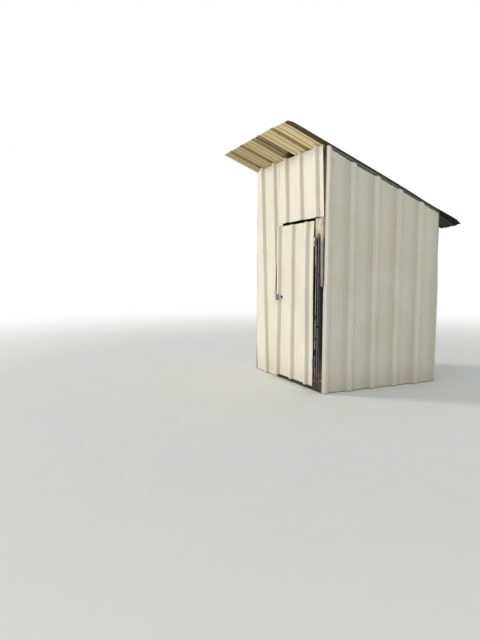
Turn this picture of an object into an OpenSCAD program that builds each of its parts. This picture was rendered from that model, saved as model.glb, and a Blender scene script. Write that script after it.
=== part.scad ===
// Outhouse with one door: a timber frame on two skids, clad in ribbed steel sheets.
// Millimetres, +Z up, origin on the ground under the middle of the hut, door facing -Y.

/* [Hut] */
// Width over the flats of the wall sheets
hut_w = 1524; // [1400:4:1700]
// Depth over the flats of the wall sheets
hut_d = 1524; // [1400:4:1700]
// Height of the roof's underside over the front wall
front_h = 2520; // [2400:10:2700]
// Height of the roof's underside over the back wall
back_h = 1930; // [1800:10:2000]

/* [Roof] */
// How far the roof runs out past the front wall
front_overhang = 437; // [300:1:520]
// How far the roof runs out past the back wall
back_overhang = 328; // [200:1:400]
// How far the roof stands out past the left wall
left_overhang = 51; // [20:1:80]
// How far the roof stops short of the right wall's face
right_setback = 12; // [5:1:30]
// Distance of the seam between the roof sheets from the right wall's face
roof_seam = 688; // [680:1:700]

/* [Sheets] */
// Thickness of the sheets as modelled
sheet_t = 3; // [2:0.5:4]
// Distance from one rib to the next
rib_pitch = 304.8; // [300:0.1:310]
// Height of a rib
rib_h = 32; // [25:1:38]
// Width of a rib across its top
rib_top = 32; // [20:1:40]
// Width of a rib across its foot
rib_foot = 78; // [70:1:90]
// Height of the wall sheets' lower edge above the ground
sheet_lift = 6; // [4:1:20]
// Lean of the header sheet over the door, in degrees
header_lean = 3.4; // [0:0.1:3.8]
// Lean of the sheet left of the door, in degrees
left_lean = 3.6; // [0:0.1:3.8]

/* [Door] */
// Width of the door sheet
door_w = 755; // [740:5:760]
// Height of the door sheet's top edge above the ground
door_top = 1780; // [1750:5:1790]
// Height of the door sheet's bottom edge above the ground
door_bottom = 45; // [40:1:60]
// Distance of the doorway's right side from the right wall's face
doorway_right = 170; // [160:5:180]
// Clear width of the doorway between its jambs
doorway_w = 780; // [780:5:790]
// Height of a hinge
hinge_h = 89; // [70:1:100]
// Height of the upper hinge's lower end above the ground
hinge_upper_z = 1515; // [1450:5:1580]
// Height of the lower hinge's lower end above the ground
hinge_lower_z = 250; // [200:5:350]
// Height of the latch above the ground
latch_z = 960; // [900:5:1050]

/* [Timber] */
// Thickness of the framing timber
stud_t = 38; // [35:1:45]
// Width of the framing timber
stud_w = 89; // [80:1:100]
// Thickness of the floor boards
floor_t = 22; // [18:1:28]
// Number of floor boards
floor_boards_n = 9; // [8:1:10]

/* [Hidden] */
$fn = 48;

cream = [0.86, 0.85, 0.76];
timber = [0.42, 0.36, 0.30];
old_timber = [0.22, 0.19, 0.17];
bleached = [0.58, 0.53, 0.46];
steel = [0.52, 0.53, 0.54];
black_iron = [0.12, 0.12, 0.13];

// Outer faces of the framing, which are the inner faces of the sheets
frame_x = hut_w / 2 - sheet_t;
frame_y = hut_d / 2 - sheet_t;
right_x = hut_w / 2;

// The roof's underside falls in a straight line from front to back
roof_fall = (front_h - back_h) / hut_d;
roof_angle = atan(roof_fall);
roof_run = front_overhang + hut_d + back_overhang;
roof_len = roof_run / cos(roof_angle);
// Purlins lie flat between the rafters' tops, so their depths are measured across the slope
purlin_drop = stud_t / cos(roof_angle);
rafter_drop = purlin_drop + stud_w / cos(roof_angle);
function roof_z(y) = front_h - roof_fall * (y + hut_d / 2);

// Floor: joists rest on the ground between the skids and carry the boards
joist_h = stud_w;
floor_top = joist_h + floor_t;
inner_x = frame_x - stud_w;

// Doorway and door leaf
way_x1 = right_x - doorway_right;
way_x0 = way_x1 - doorway_w;
way_top = door_top + 30;
door_gap_hinge = 15;
door_x1 = way_x1 - door_gap_hinge;
door_x0 = door_x1 - door_w;
door_sheet_gap = 6;
door_back_y = -frame_y - door_sheet_gap;
door_face_y = door_back_y - sheet_t;
door_frame_margin = 12;
door_frame_y = door_back_y + stud_t;
door_frame_z0 = floor_top + 11;
door_frame_z1 = door_top - 7;
door_rib_from_hinge = 119;
door_rib1 = door_x1 - door_rib_from_hinge;
rail_mid_z = 900;

// Hinges: knuckles stand on one line, in front of the gap beside the door
pin_x = door_x1 + door_gap_hinge / 2;
pin_y = door_face_y - 1;
pin_r = 2.5;
pin_clearance = 0.08;
knuckle_r = 4.5;
knuckle_gap = 0.5;
leaf_t = 2.5;
leaf_w = 38;
leaf_clear = 2;

// Latch hardware: a hasp plate over the door's left rib, and a knob on the flat beside it
latch_rib = door_rib1 - 2 * rib_pitch;
plate_h = 70;
plate_w = 62;
knob_r = 13;
knob_out = 16;
rose_r = 20;
rose_t = 2.5;
knob_from_rib = 64;
knob_above_plate = 6;

// Header and left sheets, with ribs as distances from the right wall's face at the header's edge
header_z0 = door_top + 26;
header_edge = 20;
header_ribs = [132, 437, 742];
left_ribs = [1022, 1327];
left_sheet_edge = doorway_right + doorway_w + 5;
header_left = left_sheet_edge - 4;
// The header reaches lower over the door's free corner, up to this distance
header_tab = 862;
header_tab_gap = 6;

// Side sheets start with a rib whose front flank is the corner's bright lip
side_rib0 = -hut_d / 2 + 28;
side_lip = 10;
side_split = side_rib0 + 3 * rib_pitch + rib_foot / 2 + 2;
side_top_drop = [40, 26];

// Roof ribs, as distances from the right wall's face
roof_ribs_right = [35, 340, 645];
roof_ribs_left = [775, 1080, 1385];

// Corner batten, which is broken off halfway down
batten_w = 45;
batten_t = 19;
batten_z0 = 1080;
batten_inset = 7;

far = 4000;
gap = 0.5;

// Height of a ribbed sheet's face at s, for ribs centred on the values in the list
function rib_at(d) = d <= rib_top / 2 ? rib_h
    : d >= rib_foot / 2 ? 0
    : rib_h * (rib_foot / 2 - d) / (rib_foot / 2 - rib_top / 2);
function sheet_h(s, ribs) = max([for (c = ribs) rib_at(abs(s - c))]);

// Corner points of a sheet's face from s0 to s1, with the ribs in rising order
function sheet_line(s0, s1, ribs) = concat(
    [[s0, sheet_h(s0, ribs)]],
    [for (c = ribs) for (d = [-rib_foot / 2, -rib_top / 2, rib_top / 2, rib_foot / 2])
        if (c + d > s0 + gap && c + d < s1 - gap) [c + d, sheet_h(c + d, ribs)]],
    [[s1, sheet_h(s1, ribs)]]);

// Cross-section of a sheet, whose inner flat lies on y = 0
module sheet_section(s0, s1, ribs) {
    line = sheet_line(s0, s1, ribs);
    n = len(line);
    polygon(concat(
        [for (p = line) [p[0], p[1] + sheet_t]],
        [for (i = [n - 1:-1:0]) line[i]]));
}

// Everything under the plane that lies drop below the roof's underside
module under_roof(drop) {
    rotate([90, 0, 90])
        translate([0, 0, -far / 2])
            linear_extrude(far)
                polygon([
                    [-far / 2, -far],
                    [far / 2, -far],
                    [far / 2, roof_z(far / 2) - drop],
                    [-far / 2, roof_z(-far / 2) - drop]]);
}

// Everything under the side sheets' sloping top edge, which nears the roof towards the back
module under_side_edge() {
    front_z = front_h - side_top_drop[0];
    back_z = back_h - side_top_drop[1];
    fall = (front_z - back_z) / hut_d;
    rotate([90, 0, 90])
        translate([0, 0, -far / 2])
            linear_extrude(far)
                polygon([
                    [-hut_d, -far],
                    [hut_d, -far],
                    [hut_d, front_z - fall * (hut_d + hut_d / 2)],
                    [-hut_d, front_z - fall * (hut_d / 2 - hut_d)]]);
}

// A box between two corners
module block(a, b) {
    translate(a)
        cube(b - a);
}

// A side is -1 for the left and 1 for the right, and an end -1 for the front and 1 for the back
module skid(side) {
    color(old_timber)
        translate([side * (frame_x - stud_w / 2), 0, joist_h / 2])
            cube([stud_w, 2 * frame_y, joist_h], center = true);
}

module floor_joists() {
    color(timber)
        for (y = [-frame_y, -stud_t / 2, frame_y - stud_t])
            block([-inner_x, y, 0], [inner_x, y + stud_t, joist_h]);
}

module floor_boards() {
    pitch = 2 * inner_x / floor_boards_n;
    color(timber)
        for (i = [0:floor_boards_n - 1])
            block([-inner_x + i * pitch + 2, -frame_y, joist_h],
                [-inner_x + (i + 1) * pitch - 2, frame_y, floor_top]);
}

// Corner posts stand on the skids and are cut off under the rafters
module post(side, end) {
    intersection() {
        translate([side * (frame_x - stud_w / 2), end * (frame_y - stud_w / 2), far / 2 + joist_h])
            cube([stud_w, stud_w, far], center = true);
        under_roof(rafter_drop);
    }
}

module trimmer_stud() {
    color(old_timber)
        block([inner_x - stud_t - gap, -frame_y, floor_top],
            [inner_x - gap, -frame_y + stud_w, plate_z(-1)]);
}

// Underside of the front plate (end -1) or the back plate (end 1), level with the post tops
function plate_z(end) = roof_z(end < 0 ? -frame_y : frame_y - stud_t) - rafter_drop;

module jamb_left() {
    color(timber)
        block([way_x0 - stud_t, -frame_y, floor_top],
            [way_x0, -frame_y + stud_w, plate_z(-1)]);
}

// The hinge jamb stands a little proud, so that the hinges meet the door sheet's face
module jamb_right() {
    color(old_timber)
        difference() {
            block([way_x1, door_back_y, joist_h + gap],
                [way_x1 + stud_t, -frame_y + stud_w, plate_z(-1)]);
            block([way_x1 - 1, -frame_y, 0],
                [way_x1 + stud_t + 1, far, floor_top]);
            block([way_x1 - 1, -far, header_z0 - 12],
                [way_x1 + stud_t + 1, -frame_y, far]);
        }
}

module door_head_beam() {
    color(old_timber)
        block([way_x0, -frame_y, way_top],
            [way_x1, -frame_y + stud_t, way_top + stud_w]);
}

module door_stop() {
    stop_t = 35;
    stop_y = door_frame_y + 6;
    color(timber)
        block([way_x0, stop_y, floor_top],
            [way_x0 + stop_t, stop_y + 22, way_top]);
}

// Plates carry the purlins and run between the rafters
module plate(end) {
    y0 = end < 0 ? -frame_y : frame_y - stud_t;
    color(timber)
        intersection() {
            block([-frame_x + stud_t, y0, plate_z(end)],
                [frame_x - stud_t, y0 + stud_t, far]);
            under_roof(purlin_drop);
        }
}

// Side rails, to which the wall sheets are screwed
module side_girts(side) {
    x0 = side > 0 ? frame_x - stud_t : -frame_x;
    color(timber)
        for (z = [floor_top, 700, 1400])
            block([x0, -frame_y + stud_w, z],
                [x0 + stud_t, frame_y - stud_w, z + stud_w]);
}

module girts_back() {
    color(timber)
        for (z = [floor_top, 700, 1400])
            block([-inner_x, frame_y - stud_t, z],
                [inner_x, frame_y, z + stud_w]);
}

module girts_front() {
    color(timber)
        for (z = [floor_top, 900, way_top])
            block([-inner_x, -frame_y, z],
                [way_x0 - stud_t, -frame_y + stud_t, z + stud_w]);
}

// Rafters reach up to the roof sheets, deep enough to take the purlins between them
module rafter(side) {
    x0 = side > 0 ? frame_x - stud_t : -frame_x;
    color(timber)
        intersection() {
            difference() {
                block([x0, -frame_y, 0], [x0 + stud_t, frame_y, far]);
                under_roof(rafter_drop);
            }
            under_roof(gap);
        }
}

// Purlins run from rafter to rafter, flat under the roof sheets
module purlins() {
    places = [-frame_y, -stud_w / 2, frame_y - stud_w];
    purlin_x = frame_x - stud_t;
    color(timber)
        intersection() {
            difference() {
                for (y = places)
                    block([-purlin_x, y, 0], [purlin_x, y + stud_w, far]);
                under_roof(purlin_drop);
            }
            under_roof(gap);
        }
}

module corner_batten() {
    color(bleached)
        block([frame_x - batten_inset - batten_w, -frame_y - batten_t, batten_z0],
            [frame_x - batten_inset, -frame_y, header_z0 - 3]);
}

// A front sheet stands on y = -frame_y, and leans about a point level with the header's edge
module front_sheet(ribs, d0, d1, lean) {
    positions = [for (i = [len(ribs) - 1:-1:0]) right_x - ribs[i]];
    pivot = right_x - d0;
    translate([pivot, -frame_y, header_z0])
        rotate([0, -lean, 0])
            translate([-pivot, 0, -far / 2])
                linear_extrude(far)
                    mirror([0, 1, 0])
                        sheet_section(right_x - d1, right_x - d0, positions);
}

module front_header_sheet() {
    color(cream)
        intersection() {
            front_sheet(header_ribs, header_edge, header_left + 100, header_lean);
            union() {
                block([right_x - header_left, -far, header_z0], [right_x, far, far]);
                block([right_x - header_left, -far, door_top + header_tab_gap],
                    [right_x - header_tab, far, far]);
            }
            under_roof(2);
        }
}

module front_left_sheet() {
    color(cream)
        intersection() {
            front_sheet(left_ribs, left_sheet_edge - 150, hut_w + 150, left_lean);
            block([-frame_x, -far, sheet_lift], [right_x - left_sheet_edge, far, far]);
            under_roof(2);
        }
}

function side_ribs() = [for (i = [0:5]) side_rib0 + i * rib_pitch];

// A side sheet stands on x = frame_x on the right, and is mirrored for the left
module side_sheet(side, y0, y1) {
    color(cream)
        intersection() {
            mirror([side > 0 ? 0 : 1, 0, 0])
                translate([frame_x, 0, sheet_lift])
                    mirror([1, 0, 0])
                        rotate([0, 0, 90])
                            linear_extrude(far)
                                sheet_section(y0, y1, side_ribs());
            under_side_edge();
        }
}

// The back sheets stand between the side sheets' flats
module back_sheet(x0, x1) {
    ribs = [for (i = [-2:2]) i * rib_pitch];
    color(cream)
        intersection() {
            translate([0, frame_y, sheet_lift])
                linear_extrude(far)
                    sheet_section(x0, x1, ribs);
            under_roof(3);
        }
}

// A roof sheet lies on the purlins, from d0 to d1 from the right wall's face
module roof_sheet(ribs, d0, d1) {
    positions = [for (i = [len(ribs) - 1:-1:0]) right_x - ribs[i]];
    tip_y = -hut_d / 2 - front_overhang;
    color(cream)
        translate([0, tip_y, roof_z(tip_y)])
            rotate([-roof_angle, 0, 0])
                translate([0, roof_len, 0])
                    rotate([90, 0, 0])
                        linear_extrude(roof_len)
                            sheet_section(right_x - d1, right_x - d0, positions);
}

module knuckle(z0, z1) {
    translate([pin_x, pin_y, z0])
        cylinder(h = z1 - z0, r = knuckle_r);
}

// The frame's leaf has the two end knuckles and the pin
module frame_hinge(z) {
    third = hinge_h / 3;
    knuckle(z, z + third - knuckle_gap);
    knuckle(z + 2 * third + knuckle_gap, z + hinge_h);
    translate([pin_x, pin_y, z - 3])
        cylinder(h = hinge_h + 6, r = pin_r);
    for (z0 = [z, z + 2 * third + knuckle_gap])
        block([pin_x, door_back_y - leaf_t, z0],
            [way_x1 + leaf_clear, door_back_y, z0 + third - knuckle_gap]);
    block([way_x1, door_back_y - leaf_t, z],
        [pin_x + leaf_w, door_back_y, z + hinge_h]);
}

module hinge_leaves_frame() {
    color(steel)
        for (z = [hinge_lower_z, hinge_upper_z])
            frame_hinge(z);
}

// The door's leaf has the middle knuckle, bored for the pin
module door_hinge(z) {
    third = hinge_h / 3;
    difference() {
        union() {
            knuckle(z + third, z + 2 * third);
            block([door_x1 - leaf_clear, door_face_y - leaf_t, z + third],
                [pin_x, door_face_y, z + 2 * third]);
            block([pin_x - leaf_w, door_face_y - leaf_t, z],
                [door_x1 - leaf_clear, door_face_y, z + hinge_h]);
        }
        translate([pin_x, pin_y, z - 1])
            cylinder(h = hinge_h + 2, r = pin_r + pin_clearance);
    }
}

module hinge_leaves_door() {
    color(steel)
        for (z = [hinge_lower_z, hinge_upper_z])
            door_hinge(z);
}

module door_sheet() {
    ribs = [for (i = [2:-1:0]) door_rib1 - i * rib_pitch];
    color(cream)
        translate([0, door_back_y, door_bottom])
            linear_extrude(door_top - door_bottom)
                mirror([0, 1, 0])
                    sheet_section(door_x0, door_x1, ribs);
}

// The door's timber frame is set in a little from the sheet's edges
door_in_x0 = door_x0 + door_frame_margin;
door_in_x1 = door_x1 - 1;

module door_stiles() {
    color(timber)
        for (x = [door_in_x0, door_in_x1 - stud_w])
            block([x, door_back_y, door_frame_z0],
                [x + stud_w, door_frame_y, door_frame_z1]);
}

function rail_places() = [door_frame_z0, rail_mid_z, door_frame_z1 - stud_w];

module door_rails() {
    color(timber)
        for (z = rail_places())
            block([door_in_x0 + stud_w, door_back_y, z],
                [door_in_x1 - stud_w, door_frame_y, z + stud_w]);
}

// The brace rises from the hinge side's foot to the middle rail's latch end
module door_brace() {
    x0 = door_in_x0 + stud_w;
    x1 = door_in_x1 - stud_w;
    z0 = door_frame_z0 + stud_w;
    z1 = rail_mid_z;
    cut = stud_w * 1.2;
    color(timber)
        translate([0, door_frame_y, 0])
            rotate([90, 0, 0])
                linear_extrude(stud_t)
                    polygon([
                        [x1, z0],
                        [x1, z0 + cut],
                        [x0 + cut, z1],
                        [x0, z1],
                        [x0, z1 - cut],
                        [x1 - cut, z0]]);
}

module latch_plate() {
    face_y = door_face_y - rib_h;
    color(steel)
        block([latch_rib - plate_w / 2, face_y - rose_t, latch_z - plate_h / 2],
            [latch_rib + plate_w / 2, face_y, latch_z + plate_h / 2]);
}

module latch_knob() {
    color(black_iron)
        translate([latch_rib + knob_from_rib, door_face_y, latch_z + knob_above_plate])
            rotate([90, 0, 0]) {
                cylinder(h = rose_t, r = rose_r);
                cylinder(h = knob_out, r = knob_r);
            }
}

skid(-1);  // skid_left
skid(1);  // skid_right
floor_joists();
floor_boards();
color(timber) post(-1, -1);  // post_front_left
color(old_timber) post(1, -1);  // post_front_right
color(timber) post(-1, 1);  // post_back_left
color(timber) post(1, 1);  // post_back_right
trimmer_stud();
jamb_left();
jamb_right();
door_head_beam();
door_stop();
plate(-1);  // plate_front
plate(1);  // plate_back
side_girts(-1);  // girts_left
side_girts(1);  // girts_right
girts_back();
girts_front();
rafter(-1);  // rafter_left
rafter(1);  // rafter_right
purlins();
corner_batten();
front_header_sheet();
front_left_sheet();
side_sheet(1, -hut_d / 2 - side_lip, side_split);  // right_wall_sheet_front
side_sheet(1, side_split + 1, hut_d / 2);  // right_wall_sheet_rear
side_sheet(-1, -hut_d / 2 - side_lip, side_split);  // left_wall_sheet_front
side_sheet(-1, side_split + 1, hut_d / 2);  // left_wall_sheet_rear
back_sheet(-frame_x, rib_pitch / 2);  // back_wall_sheet_left
back_sheet(rib_pitch / 2 + 1, frame_x);  // back_wall_sheet_right
roof_sheet(roof_ribs_left, roof_seam + 2, hut_w + left_overhang);  // roof_sheet_left
roof_sheet(roof_ribs_right, right_setback, roof_seam);  // roof_sheet_right
hinge_leaves_frame();
door_sheet();
door_stiles();
door_rails();
door_brace();
hinge_leaves_door();
latch_plate();
latch_knob();
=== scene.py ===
import math
from functools import partial

import bpy
import numpy as np
from mathutils import Matrix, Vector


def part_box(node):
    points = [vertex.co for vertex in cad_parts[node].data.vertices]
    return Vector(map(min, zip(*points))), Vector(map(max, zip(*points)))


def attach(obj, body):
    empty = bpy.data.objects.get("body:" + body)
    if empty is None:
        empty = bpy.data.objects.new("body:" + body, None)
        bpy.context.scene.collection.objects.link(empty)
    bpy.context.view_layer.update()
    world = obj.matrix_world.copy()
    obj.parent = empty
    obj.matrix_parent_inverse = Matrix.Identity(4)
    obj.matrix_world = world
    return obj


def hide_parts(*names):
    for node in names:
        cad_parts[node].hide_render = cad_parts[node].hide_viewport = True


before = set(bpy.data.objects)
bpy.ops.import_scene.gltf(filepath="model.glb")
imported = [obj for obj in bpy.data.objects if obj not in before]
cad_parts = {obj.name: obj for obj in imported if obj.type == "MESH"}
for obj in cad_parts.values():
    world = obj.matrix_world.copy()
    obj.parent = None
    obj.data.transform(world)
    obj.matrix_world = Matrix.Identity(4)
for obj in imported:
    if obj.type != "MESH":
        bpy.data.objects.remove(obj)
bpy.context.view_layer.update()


# Skids: two softwood timbers of about 4 by 4 inches that lie on the ground under the side walls.
# They carry the corner posts, and are sawn, grey and soaked dark where they touch the soil.

def colour(red, green, blue):
    """A screen colour from 0 to 255 as the linear colour that a shader takes"""
    share = np.array([red, green, blue]) / 255
    linear = np.where(share <= 0.04045, share / 12.92, ((share + 0.055) / 1.055) ** 2.4)
    return (*linear.tolist(), 1.0)


def shade(tree, kind, sockets=None, out=0, **settings):
    """One shader node with its settings. A socket's value is either a number or colour, or
    the output of another node, which is linked to it."""
    made = tree.nodes.new("ShaderNode" + kind)
    for key, value in settings.items():
        setattr(made, key, value)
    for key, value in (sockets or {}).items():
        if isinstance(value, bpy.types.NodeSocket):
            tree.links.new(value, made.inputs[key])
        else:
            made.inputs[key].default_value = value
    return made.outputs[out]


def axes(place):
    """The three coordinates of a place"""
    return shade(place.id_data, "SeparateXYZ", {0: place}).node.outputs


def speckle(place, scale, detail=3.0, stretch=None):
    """Noise from 0 to 1, whose place may be stretched by three factors first"""
    tree = place.id_data
    if stretch:
        place = shade(tree, "Mapping", {"Vector": place, "Scale": stretch})
    return shade(tree, "TexNoise", {"Vector": place, "Scale": scale, "Detail": detail,
                                    "Roughness": 0.58})


def between(value, low, high, most=1.0):
    """Rises smoothly from 0 where the value is low to most where it is high"""
    return shade(value.id_data, "MapRange", {"Value": value, "From Min": low, "From Max": high,
                                             "To Min": 0.0, "To Max": most},
                 interpolation_type="SMOOTHSTEP")


def sums(operation, first, second=0.0):
    """One arithmetic step on one or two values, one of which is a node's output"""
    output = first if isinstance(first, bpy.types.NodeSocket) else second
    return shade(output.id_data, "Math", {0: first, 1: second}, operation=operation)


plus, minus, times = (partial(sums, name) for name in ("ADD", "SUBTRACT", "MULTIPLY"))


def over(share, under, top):
    """The colour top laid over the colour under by a share. Each is the output of a node, or
    red, green and blue from 0 to 255."""
    under, top = (colour(*part) if isinstance(part, tuple) else part for part in (under, top))
    return shade(share.id_data, "Mix", {0: share, 6: under, 7: top}, out=2, data_type="RGBA")


def new_finish(name):
    """A new material with its node tree and its surface shader"""
    made = bpy.data.materials.new(name)
    made.use_nodes = True
    return made, made.node_tree, made.node_tree.nodes["Principled BSDF"]


def dress(surface, base, rough, height, strength, distance, gloss=0.5):
    """Gives a surface shader its colour, roughness, bump and gloss"""
    tree = surface.id_data
    surface.inputs["Specular IOR Level"].default_value = gloss
    bump = shade(tree, "Bump", {"Height": height, "Strength": strength, "Distance": distance})
    for key, value in (("Base Color", base), ("Roughness", rough), ("Normal", bump)):
        tree.links.new(value, surface.inputs[key])


def wood(name, early, late, grey, greying, cracks, soil, soiling, stained=None, gloss=0.25):
    """Sawn softwood. Growth rings are circles about the log's middle in the board's own
    coordinates, bent by noise that is long along the grain. Fibres are fine noise drawn out along
    the grain, and cracks are the thin lines where a coarser one passes its middle value. Grey
    weathering, soil near the ground and, where given, a piece's own stains and painted shade lie
    over them."""
    finish, tree, surface = new_finish(name)
    grain = shade(tree, "Attribute", out=1, attribute_name="grain")
    place = shade(tree, "TexCoord", out=3)
    bend = shade(tree, "TexNoise", {"Vector": shade(tree, "Mapping", {
        "Vector": grain, "Scale": (1, 1, 0.12)}), "Scale": 14, "Detail": 2}, out=1)
    bend = shade(tree, "VectorMath", {0: bend, 1: (0.5, 0.5, 0.5)}, operation="SUBTRACT")
    bend = shade(tree, "VectorMath", {0: bend, 3: 0.03}, operation="SCALE")
    bent = shade(tree, "VectorMath", {0: grain, 1: bend}, operation="ADD")
    rings = shade(tree, "TexWave", {"Vector": bent, "Scale": 48, "Distortion": 1.4, "Detail": 2,
                                    "Detail Scale": 1.6}, out=1,
                  wave_type="RINGS", rings_direction="Z")
    fibres = speckle(grain, 620, 3, (1, 1, 0.022))
    streaks = speckle(grain, 95, 4, (1, 1, 0.03))
    split = speckle(grain, 55, 3, (1, 1, 0.035))
    split = between(sums("ABSOLUTE", minus(split, 0.5)), 0.016, 0.002, cracks)
    cloud = speckle(place, 7, 5)
    base = over(rings, early, late)
    base = over(between(streaks, 0.35, 0.75, 0.5), base, late)
    grey_share = between(plus(cloud, times(streaks, 0.6)), 0.55, 1.0, greying)
    base = over(grey_share, base, grey)
    base = over(between(fibres, 0.42, 0.8, 0.45), base, soil)
    reach = plus(axes(place)[2], times(cloud, 0.3))
    base = over(between(reach, 0.55, 0.12, soiling), base, soil)
    if stained:
        base = stained(base, grain, place, cloud)
    base = over(split, base, (24, 20, 17))
    relief = minus(plus(times(fibres, 0.5), times(rings, 0.25)), split)
    dress(surface, base, plus(times(fibres, 0.22), 0.68), relief, 0.55, 0.0016, gloss)
    return finish


def ripple(across, along, seed, spread):
    """Sum of seven sine waves, with directions and phases drawn from the seed, from -1 to 1"""
    draw = np.random.default_rng(seed)
    total = 0
    for _ in range(7):
        f, g = draw.normal(0, spread[0]), draw.normal(0, spread[1])
        total = total + np.sin(f * across + g * along + draw.uniform(0, 2 * np.pi))
    return np.tanh(total / 3)


def outline(width, depth, radius, step):
    """Outline of a board's end, run round anticlockwise: a rectangle with a quarter circle at
    each corner and points a step apart on its sides. Returns points and outward directions."""
    centres = np.array([(width - radius, radius), (width - radius, depth - radius),
                        (radius, depth - radius), (radius, radius)])
    points, outward = [], []
    for k in range(4):
        angle = np.radians(np.linspace(-90, 0, 4) + 90 * k)
        arc = np.stack([np.cos(angle), np.sin(angle)], 1)
        start = centres[k] + radius * arc[-1]
        after = centres[(k + 1) % 4] + radius * arc[-1]
        n = int(np.linalg.norm(after - start) / step)
        share = np.linspace(0, 1, n + 2)[1:-1, None]
        points += [centres[k] + radius * arc, start * (1 - share) + after * share]
        outward += [arc, np.repeat(arc[-1:], n, 0)]
    return np.concatenate(points), np.concatenate(outward)


def ends(low, high, axis):
    """The two end faces of a board that runs along an axis, as four corners each"""
    u, w = [k for k in range(3) if k != axis]
    quads = []
    for end in (low, high):
        quad = np.zeros((4, 3))
        quad[:, axis] = end[axis]
        quad[:, u] = [low[u], high[u], high[u], low[u]]
        quad[:, w] = [low[w], low[w], high[w], high[w]]
        quads.append(quad)
    return quads


def board(foot, head, seed, step=0.014, row=0.06, radius=0.003, relief=0.0008, wear=None,
          heart=0.08):
    """A board between two end faces. Round it runs the rounded outline, and along it the share
    v from foot to head. Each point is the mix of the end faces' corners at its place in the
    outline, sunk by a rippled relief of at most the given depth, and each end closes in a
    middle point. Its grain coordinates count from the log's middle, heart away from the board."""
    foot, head = np.array(foot, float), np.array(head, float)
    width, depth = np.linalg.norm(foot[1] - foot[0]), np.linalg.norm(foot[3] - foot[0])
    length = np.linalg.norm(head.mean(0) - foot.mean(0))
    ring, outward = outline(width, depth, min(radius, width / 4, depth / 4), step)
    v = np.linspace(0, 1, max(2, int(length / row)) + 1)[None, :]
    around = np.cumsum(np.linalg.norm(np.roll(ring, 1, 0) - ring, axis=1))[:, None]
    sunk = relief * (1 + ripple(around, v * length, seed, (260, 9))) / 2
    x = ring[:, :1] - outward[:, :1] * sunk
    y = ring[:, 1:] - outward[:, 1:] * sunk
    v = v + 0 * x
    if wear:
        x, y, v = wear(x, y, v)
    n, m = x.shape

    def mixed(quad):
        a, b = (x / width)[..., None], (y / depth)[..., None]
        return ((1 - a) * (1 - b) * quad[0] + a * (1 - b) * quad[1]
                + a * b * quad[2] + (1 - a) * b * quad[3])

    points = (1 - v[..., None]) * mixed(foot) + v[..., None] * mixed(head)
    draw = np.random.default_rng(seed + 1000)
    turn = draw.uniform(0, 2 * np.pi)
    middle = np.array([width, depth]) / 2 + heart * np.array([np.cos(turn), np.sin(turn)])
    grain = np.stack([x - middle[0], y - middle[1], v * length + draw.uniform(0, 40)], -1)
    number = np.arange(n * m).reshape(n, m)
    after = np.roll(number, -1, 0)
    quads = np.stack([number[:, :-1], after[:, :-1], after[:, 1:], number[:, 1:]], -1)
    first, last = np.full(n, n * m), np.full(n, n * m + 1)
    closing = [np.stack([after[:, 0], number[:, 0], first], -1),
               np.stack([number[:, -1], after[:, -1], last], -1)]

    def with_middles(grid):
        return np.concatenate([grid.reshape(-1, 3), grid[:, [0, -1]].mean(0)])

    return {"points": with_middles(points), "quads": quads.reshape(-1, 4),
            "triangles": np.concatenate(closing), "values": {"grain": with_middles(grain)}}


def piece(name, parts, finishes, nodes=(), slot=None, body="hut", crease=38):
    """One object of several closed surfaces. A surface whose signed volume, the sum of its
    triangles' triple products, is below zero has its faces turned, so that all face outwards."""
    points, faces, kinds, values, start = [], [], [], {}, 0
    for part in parts:
        spots, quads, triangles = part["points"], part["quads"], part["triangles"]
        corners = np.concatenate([quads[:, [0, 1, 2]], quads[:, [0, 2, 3]], triangles])
        a, b, c = (spots[corners[:, k]] for k in range(3))
        turned_in = np.sum(a * np.cross(b, c)) < 0
        for block in (quads, triangles):
            faces += ((block[:, ::-1] if turned_in else block) + start).tolist()
        kinds.append(part.get("kinds", np.zeros(len(quads) + len(triangles), int)))
        points.append(spots)
        for key, value in part["values"].items():
            values.setdefault(key, []).append(value)
        start += len(spots)
    mesh = bpy.data.meshes.new(name)
    mesh.from_pydata(np.concatenate(points).tolist(), [], faces)
    for finish in finishes:
        mesh.materials.append(finish)
    mesh.polygons.foreach_set("material_index", np.concatenate(kinds).astype(np.int32))
    for key, value in values.items():
        value = np.concatenate(value).astype(np.float32)
        kind, field = ("FLOAT_VECTOR", "vector") if value.ndim == 2 else ("FLOAT", "value")
        mesh.attributes.new(key, kind, "POINT").data.foreach_set(field, value.ravel())
    mesh.shade_smooth()
    mesh.set_sharp_from_angle(angle=math.radians(crease))
    made = bpy.data.objects.new(name, mesh)
    bpy.context.scene.collection.objects.link(made)
    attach(made, body)
    if nodes:
        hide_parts(*nodes)
    return made


def timber(name, node, axis, seed, finish, slot, **shape):
    """The piece for a node which is one plain timber along an axis: a board between the end
    faces of the node's box"""
    piece(name, [board(*ends(*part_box(node), axis), seed, **shape)], [finish], [node], slot)


old_wood = wood("old_timber", (120, 107, 90), (84, 72, 59), (132, 128, 118),
                0.8, 0.8, (58, 50, 42), 0.85)
for side, seed in (("left", 11), ("right", 12)):
    timber("skid_timber_" + side, "skid_" + side, 1, seed, old_wood, "weathered_timber",
           step=0.010, radius=0.006, relief=0.002, heart=0.02)


# Floor: three joists on the ground between the skids, with nine boards nailed across them.
# It is rough pine, brown with age and trodden dirt, with the boards a few millimetres apart.
# The joists are darker, for ground soil and for painted shade under the door.

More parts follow.
